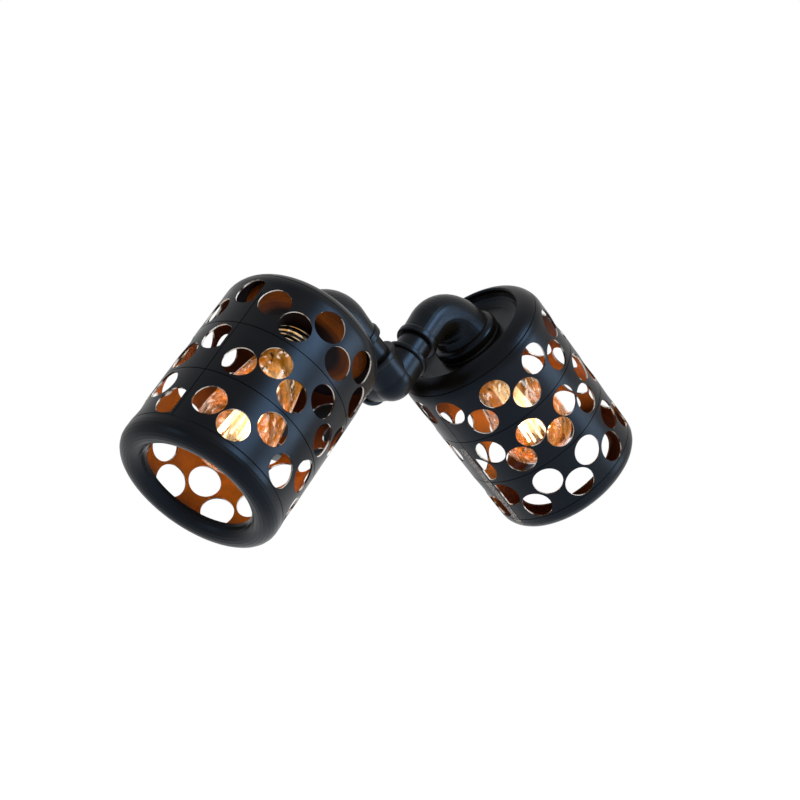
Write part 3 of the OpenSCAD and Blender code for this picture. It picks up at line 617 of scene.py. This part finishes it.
def amber_glass(side_name):
    """Amber glass with streaks along the bulb, and a painted glow: its streaked warm colour is
    emitted, brighter on painted glint patches.
    """
    side = SIDES[side_name]
    f = Finish(f"{side_name}_amber_glass")
    amber = tuple(colours().glass)
    turn = (0, side * math.pi / 4, 0)
    broad = f.ramp(f.noise(55, 2, stretch=(1, 1, 0.16), turn=turn), 0.4, 0.62, 0, 1)
    fine = f.ramp(f.noise(330, 3, stretch=(1, 1, 0.06), turn=turn), 0.45, 0.68, 0, 1)
    colour = f.mix(broad, tinted(amber, 0.22), amber)
    lit = f.mix(fine, f.mix(broad, tinted(amber, 0.12), tinted(amber, 0.62)),
                tuple(colours().glow))
    at = ShadePlace(f, side_name)
    clear = f.ramp(at.along, 0.09, 0.115, 0, 1)
    alpha = f.blend(clear, 0.8, f.ramp(broad, 0, 1, 0.68, 0.34))
    # Painted reflections: near-white glint patches of stronger glow on the glass
    painted_glints = f.ramp(f.noise(210, 2, stretch=(1, 1, 0.5), turn=turn), 0.6, 0.66, 0, 1)
    blots = f.ramp(f.noise(150, 2, stretch=(1, 1, 0.6), turn=turn), 0.34, 0.44, 1, 0)
    colour = f.mix(blots, colour, tinted(amber, 0.1))
    lit = f.mix(blots, lit, tinted(amber, 0.06))
    lit = f.mix(painted_glints, lit, (1, 0.9, 0.72, 1))
    # Painted glow: the glass emits its streaked warm colour at 0.24, and 0.7 on the glint patches
    f.set(Base_Color=colour, Roughness=0.08, Alpha=alpha, Emission_Color=lit,
          Emission_Strength=f.blend(painted_glints, 0.24, 0.7), Specular_IOR_Level=0.3)
    f.surface.inputs["Coat Weight"].default_value = 0.15
    f.surface.inputs["Coat Roughness"].default_value = 0.04
    return f.material


def clear_glass():
    """Clear glass of the CAD bulb, which the amber one replaces."""
    f = Finish("clear_glass")
    cloud = f.noise(120, 2)
    f.set(Base_Color=(1, 0.9, 0.75, 1), Roughness=0.05, Alpha=f.ramp(cloud, 0.3, 0.7, 0.2, 0.3),
          Specular_IOR_Level=0.6)
    return f.material


def glowing():
    """Light-emitting sticks."""
    f = Finish("glowing_filament")
    cells = f.noise(1200, 1)
    f.set(Base_Color=(1, 0.7, 0.35, 1), Roughness=0.5,
          Emission_Color=f.mix(f.ramp(cells, 0.3, 0.7, 0, 1), (1, 0.72, 0.38, 1),
                               (1, 0.85, 0.6, 1)),
          Emission_Strength=14.0)
    return f.material


def lit_stem():
    """Frosted glass stem with a painted glow in place of the light of the sticks round it."""
    f = Finish("lit_glass_stem")
    frost = f.noise(400, 3)
    f.set(Base_Color=(1, 0.8, 0.5, 1), Roughness=f.ramp(frost, 0.3, 0.7, 0.3, 0.5),
          Emission_Color=f.mix(f.ramp(frost, 0.35, 0.65, 0, 1), (1, 0.6, 0.22, 1),
                               (1, 0.82, 0.5, 1)),
          Emission_Strength=3.0)
    return f.material


FINISHES = {
    "cast_black": cast_paint,
    "sheet_black": sheet_paint,
    "black_rubber": rubber,
    "zinc_steel": zinc,
    "ground_green": green_screw,
    "black_moulding": moulding,
    "contact_brass": brass,
    "base_metal": base_metal,
    "bulb_glass": clear_glass,
    "filament": glowing,
    "shade_cap": shade_cap,
    "shade_sheet": shade_sheet,
    "shade_ring": shade_ring,
    "moulding_with_painted_gleam": moulding_with_painted_gleam,
    "amber_glass": amber_glass,
    "lit_stem": lit_stem,
}
made = {}


def finish(name, *words):
    """Each finish is made once."""
    key = (name, *words)
    if key not in made:
        made[key] = FINISHES[name](*words)
    return made[key]


def dress(obj, material):
    """Gives an object that material alone."""
    obj.data.materials.clear()
    obj.data.materials.append(material)


# Pieces

def piece(name, bm, material, body, replaced=()):
    """Turns a bmesh in the lamp's frame into a piece that rides on a body."""
    mesh = bpy.data.meshes.new(name)
    for face in bm.faces:
        face.smooth = True
    bm.to_mesh(mesh)
    bm.free()
    obj = bpy.data.objects.new(name, mesh)
    bpy.context.scene.collection.objects.link(obj)
    mesh.materials.append(material)
    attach(obj, body)
    if replaced:
        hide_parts(*replaced)
    return obj


def spun(profile, steps):
    """A bmesh of revolution about local z; the profile's points are (radius, z)."""
    bm = bmesh.new()
    verts = [bm.verts.new((r, 0, z)) for r, z in profile]
    edges = [bm.edges.new(pair) for pair in zip(verts, verts[1:])]
    bmesh.ops.spin(bm, geom=verts + edges, axis=(0, 0, 1), cent=(0, 0, 0), dvec=(0, 0, 0),
                   angle=math.tau, steps=steps, use_merge=True, use_duplicate=False)
    bmesh.ops.remove_doubles(bm, verts=bm.verts, dist=1e-6)
    bmesh.ops.recalc_face_normals(bm, faces=bm.faces)
    return bm


def arc(x, y, r, start, end, steps):
    """Points of an arc about (x, y), with its angles in degrees."""
    return [(x + r * math.cos(math.radians(start + (end - start) * i / steps)),
             y + r * math.sin(math.radians(start + (end - start) * i / steps)))
            for i in range(steps + 1)]


def rod_between(bm, a, b, radius, segments):
    """Adds a round rod from a to b."""
    a, b = Vector(a), Vector(b)
    turn = (b - a).to_track_quat("Z", "Y").to_matrix().to_4x4()
    bmesh.ops.create_cone(bm, cap_ends=True, segments=segments, radius1=radius, radius2=radius,
                          depth=(b - a).length,
                          matrix=Matrix.Translation((a + b) / 2) @ turn)


class SCONCE_OT_paint(bpy.types.Operator):
    """Gives every CAD node of the sconce its finish"""

    bl_idname = "sconce.paint"
    bl_label = "Paint the sconce"

    def execute(self, context):
        for row in frame["record"]["subparts"]:
            dress(NODES[row["node"]], finish(row["material_slot"]))
        for side_name in SIDES:
            for node, look in (("shade_cap", "shade_cap"), ("shade_body", "shade_sheet"),
                               ("shade_ring", "shade_ring"), ("lamp_holder", "moulding_with_painted_gleam")):
                dress(NODES[f"{side_name}_{node}"], finish(look, side_name))
        return {"FINISHED"}


class SCONCE_OT_holders(bpy.types.Operator):
    """Makes the lamp holders' top shells with their turned edge and groove"""

    bl_idname = "sconce.holders"
    bl_label = "Make the holder caps"

    def execute(self, context):
        s = sizes()
        for side_name in SIDES:
            top, seam, r = s.holder_start, s.holder_seam, s.holder_radius
            groove = seam - GROOVE_RISE
            inside = r - HOLDER_WALL
            ceiling = top + HOLDER_WALL
            profile = [(HOLDER_BORE, top),
                       *arc(r - HOLDER_EDGE, top + HOLDER_EDGE, HOLDER_EDGE, -90, 0, 8),
                       (r, groove - GROOVE_HALF), (r - GROOVE_DEPTH, groove),
                       (r, groove + GROOVE_HALF), (r, seam), (inside, seam), (inside, ceiling),
                       (HOLDER_BORE, ceiling), (HOLDER_BORE, top)]
            bm = spun(profile, 96)
            bm.transform(shade_frame(SIDES[side_name]))
            piece(f"{side_name}_holder_shell", bm, finish("moulding_with_painted_gleam", side_name),
                  f"{side_name}_arm", [f"{side_name}_holder_cap"])
        return {"FINISHED"}


class SCONCE_OT_bulbs(bpy.types.Operator):
    """Makes the amber bulbs with their threaded bases and light-emitting sticks"""

    bl_idname = "sconce.bulbs"
    bl_label = "Make the bulbs"

    def execute(self, context):
        for side_name in SIDES:
            self.envelope(side_name)
            self.base(side_name)
            self.sticks(side_name)
            self.light(side_name)
        return {"FINISHED"}

    def envelope(self, side_name):
        """Amber glass that flares from the holder's rim to its blunt domed end."""
        s = sizes()
        lean = math.tan(s.flare)

        def skin(inset):
            wide = s.bulb_radius - inset
            neck = s.neck_radius - inset
            bend = s.flare_end - (wide - neck) / lean
            points = [(neck, s.neck_start), (neck, bend)]
            for i in range(7):
                t = i / 6
                points.append((wide - (1 - t) ** 2 * FLARE_EASE * lean,
                               s.flare_end + (2 * t - 1) * FLARE_EASE))
            low = s.flare_end + FLARE_EASE
            rise = s.bulb_end - inset - low
            for i in range(1, 25):
                turn = math.pi / 2 * i / 25
                points.append((wide * math.cos(turn) ** DOME_POWER,
                               low + rise * math.sin(turn) ** DOME_POWER))
            return [*points, (0, s.bulb_end - inset)]

        outer = skin(0)
        inner = skin(s.glass_wall)
        bm = spun(outer + inner[::-1] + outer[:1], 96)
        bm.transform(shade_frame(SIDES[side_name]))
        piece(f"{side_name}_bulb_envelope", bm, finish("amber_glass", side_name),
              f"{side_name}_arm", [f"{side_name}_bulb_glass"])

    def base(self, side_name):
        """Rolled screw base: a helical ridge on a thin shell, over the insulator and button."""
        s = sizes()
        z = s.bulb_start
        root = s.base_radius - THREAD_DEPTH
        # Contact button, sloped insulator, cylinder and rim
        shell = [(0, z), (BUTTON_RADIUS, z), (BUTTON_RADIUS, z + 0.0012),
                 (root - 0.001, z + 0.0052),
                 (root, z + 0.0062), (root, z + s.base_length - 0.001),
                 (root - 0.0004, z + s.base_length), (0, z + s.base_length)]
        bm = spun(shell, 64)
        turns = (s.base_length - PLAIN_LENGTH) / s.thread_pitch
        steps = int(turns * 40)
        rise = turns * s.thread_pitch
        ridge = [(root - 0.0006, 0), (root + 0.0004, 0.0007), (root + THREAD_DEPTH, 0.0014),
                 (root + 0.0004, 0.0021), (root - 0.0006, 0.0028)]
        verts = [bm.verts.new((r, 0, z + THREAD_START + h)) for r, h in ridge]
        edges = [bm.edges.new(pair) for pair in zip(verts, verts[1:])]
        bmesh.ops.spin(bm, geom=verts + edges, axis=(0, 0, 1), cent=(0, 0, 0),
                       dvec=(0, 0, rise / steps), angle=turns * math.tau, steps=steps,
                       use_merge=False, use_duplicate=False)
        bmesh.ops.recalc_face_normals(bm, faces=bm.faces)
        bm.transform(shade_frame(SIDES[side_name]))
        piece(f"{side_name}_bulb_screw_base", bm, finish("base_metal"),
              f"{side_name}_arm", [f"{side_name}_bulb_base"])

    def sticks(self, side_name):
        """Glass stem, lead wires and a cage of leaning light-emitting sticks."""
        s = sizes()
        base = s.bulb_start + s.base_length
        low = base + s.stick_rise
        high = low + s.stick_length
        place = shade_frame(SIDES[side_name])
        body = f"{side_name}_arm"
        # Foot, waist, bulge and tip of the stem
        stem = spun([(0, base - 0.003), (0.009, base - 0.003), (0.0085, base),
                     (0.0065, base + 0.004), (0.0055, base + 0.008), (0.005, low + 0.006),
                     (0.0062, low + 0.012), (0.0058, high - 0.01), (0.003, high),
                     (0, high + 0.0005)], 32)
        stem.transform(place)
        piece(f"{side_name}_bulb_stem", stem, finish("lit_stem"), body)
        wires = bmesh.new()
        glow = bmesh.new()
        for i in range(s.sticks):
            turn = math.tau * i / s.sticks
            twisted = turn + STICK_TWIST
            foot = Vector((STICK_FOOT * math.cos(turn), STICK_FOOT * math.sin(turn), low))
            head = Vector((STICK_HEAD * math.cos(twisted), STICK_HEAD * math.sin(twisted), high))
            rod_between(glow, foot, head, STICK_RADIUS, 12)
            rod_between(wires, (0, 0, low - 0.003), foot, WIRE_RADIUS, 8)
            rod_between(wires, head, (0, 0, high - 0.0005), WIRE_RADIUS, 8)
        wires.transform(place)
        glow.transform(place)
        piece(f"{side_name}_bulb_wires", wires, finish("base_metal"), body)
        piece(f"{side_name}_bulb_sticks", glow, finish("filament"), body,
              [f"{side_name}_bulb_filament"])

    def light(self, side_name):
        """Warm light in the middle of the sticks."""
        s = sizes()
        lamp = bpy.data.lights.new(f"{side_name}_glow", "POINT")
        lamp.energy = BULB_WATTS
        lamp.shadow_soft_size = BULB_LIGHT_RADIUS
        lamp.color = tuple(colours().glow)[:3]
        obj = bpy.data.objects.new(f"{side_name}_glow", lamp)
        bpy.context.scene.collection.objects.link(obj)
        middle = s.bulb_start + s.base_length + s.stick_rise + s.stick_length / 2
        obj.location = shade_frame(SIDES[side_name]) @ Vector((0, 0, middle))
        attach(obj, f"{side_name}_arm")


class SCONCE_OT_stage(bpy.types.Operator):
    """Sets the pale floor, the soft studio lamps and the camera"""

    bl_idname = "sconce.stage"
    bl_label = "Set the stage"

    def execute(self, context):
        self.world(context.scene)
        self.floor()
        for name, lamp in SOFTBOXES.items():
            self.softbox(name, *lamp)
        self.camera(context.scene)
        return {"FINISHED"}

    def world(self, scene):
        """White to the camera and in reflections, softer as light."""
        world = bpy.data.worlds.new("studio")
        world.use_nodes = True
        tree = world.node_tree
        shown = tree.nodes["Background"]
        shown.inputs["Color"].default_value = tuple(colours().background)
        shown.inputs["Strength"].default_value = 1.0
        soft = tree.nodes.new("ShaderNodeBackground")
        soft.inputs["Color"].default_value = WHITE
        soft.inputs["Strength"].default_value = ROOM_LIGHT
        path = tree.nodes.new("ShaderNodeLightPath")
        either = seen_rays(tree, path)
        mix = tree.nodes.new("ShaderNodeMixShader")
        tree.links.new(either, mix.inputs[0])
        tree.links.new(soft.outputs[0], mix.inputs[1])
        tree.links.new(shown.outputs[0], mix.inputs[2])
        tree.links.new(mix.outputs[0], tree.nodes["World Output"].inputs["Surface"])
        scene.world = world

    def floor(self):
        """Pale floor that looks white but keeps the lamp's shadow."""
        bm = bmesh.new()
        bmesh.ops.create_grid(bm, x_segments=8, y_segments=8, size=6,
                              matrix=Matrix.Translation((0, 0, FLOOR_HEIGHT)))
        mesh = bpy.data.meshes.new("floor")
        bm.to_mesh(mesh)
        bm.free()
        obj = bpy.data.objects.new("floor", mesh)
        bpy.context.scene.collection.objects.link(obj)
        f = Finish("pale_floor")
        f.set(Base_Color=(0.9, 0.9, 0.9, 1), Roughness=0.9,
              Emission_Color=tuple(colours().background))
        path = f.add("ShaderNodeLightPath")
        either = seen_rays(f.tree, path)
        f.set(Emission_Strength=f.math("MULTIPLY", either, 0.75))
        obj.data.materials.append(f.material)

    def softbox(self, name, place, size, power, colour):
        """Round soft lamp that faces the sconce."""
        lamp = bpy.data.lights.new(name, "AREA")
        lamp.shape = "DISK"
        lamp.size = size
        lamp.energy = power
        lamp.color = colour
        obj = bpy.data.objects.new(name, lamp)
        bpy.context.scene.collection.objects.link(obj)
        obj.location = place
        aim = Vector((0, -sizes().reach, 0)) - Vector(place)
        obj.rotation_mode = "QUATERNION"
        obj.rotation_quaternion = aim.to_track_quat("-Z", "Y")

    def camera(self, scene):
        """The photograph's view: its frame's middle stands off the centre fitting."""
        v = scene.sconce_view
        back = Vector((math.sin(v.azimuth) * math.cos(v.elevation),
                       -math.cos(v.azimuth) * math.cos(v.elevation), math.sin(v.elevation)))
        right = (-back).cross(Vector((0, 0, 1))).normalized()
        up = right.cross(-back)
        turned_right = math.cos(v.roll) * right + math.sin(v.roll) * up
        turned_up = math.cos(v.roll) * up - math.sin(v.roll) * right
        data = bpy.data.cameras.new("photo_view")
        data.sensor_width = 36
        data.lens = v.lens
        data.clip_start = 0.05
        data.clip_end = 30
        obj = bpy.data.objects.new("photo_view", data)
        scene.collection.objects.link(obj)
        spin = Matrix((turned_right, turned_up, back)).transposed().to_4x4()
        middle = Vector((0, -sizes().reach, 0)) - v.aside * turned_right + v.below * turned_up
        obj.matrix_world = Matrix.Translation(middle + back * v.distance) @ spin
        scene.camera = obj
        scene.view_settings.view_transform = "Standard"


def seen_rays(tree, path):
    """1 for the rays that show the background: camera, glossy and transmission."""
    value = path.outputs["Is Camera Ray"]
    for kind in ("Is Glossy Ray", "Is Transmission Ray"):
        either = tree.nodes.new("ShaderNodeMath")
        either.operation = "MAXIMUM"
        tree.links.new(value, either.inputs[0])
        tree.links.new(path.outputs[kind], either.inputs[1])
        value = either.outputs[0]
    return value


class SCONCE_PT_panel(bpy.types.Panel):
    bl_idname = "SCONCE_PT_panel"
    bl_label = "Pipe wall sconce"
    bl_space_type = "VIEW_3D"
    bl_region_type = "UI"
    bl_category = "Sconce"

    def draw(self, context):
        scene = context.scene
        for group in (scene.sconce_sizes, scene.sconce_colours, scene.sconce_view):
            for key in group.__annotations__:
                self.layout.prop(group, key)
        for operator in OPERATORS:
            self.layout.operator(operator.bl_idname)


GROUPS = {"sconce_sizes": SconceSizes, "sconce_colours": SconceColours, "sconce_view": SconceView}
OPERATORS = (SCONCE_OT_paint, SCONCE_OT_holders, SCONCE_OT_bulbs, SCONCE_OT_stage)


def register():
    for cls in (*GROUPS.values(), *OPERATORS, SCONCE_PT_panel):
        bpy.utils.register_class(cls)
    for key, cls in GROUPS.items():
        setattr(bpy.types.Scene, key, bpy.props.PointerProperty(type=cls))


def unregister():
    for key in GROUPS:
        delattr(bpy.types.Scene, key)
    for cls in reversed((*GROUPS.values(), *OPERATORS, SCONCE_PT_panel)):
        bpy.utils.unregister_class(cls)


def main():
    register()
    bpy.ops.sconce.paint()
    bpy.ops.sconce.holders()
    bpy.ops.sconce.bulbs()
    bpy.ops.sconce.stage()


if __name__ == "__main__":
    main()
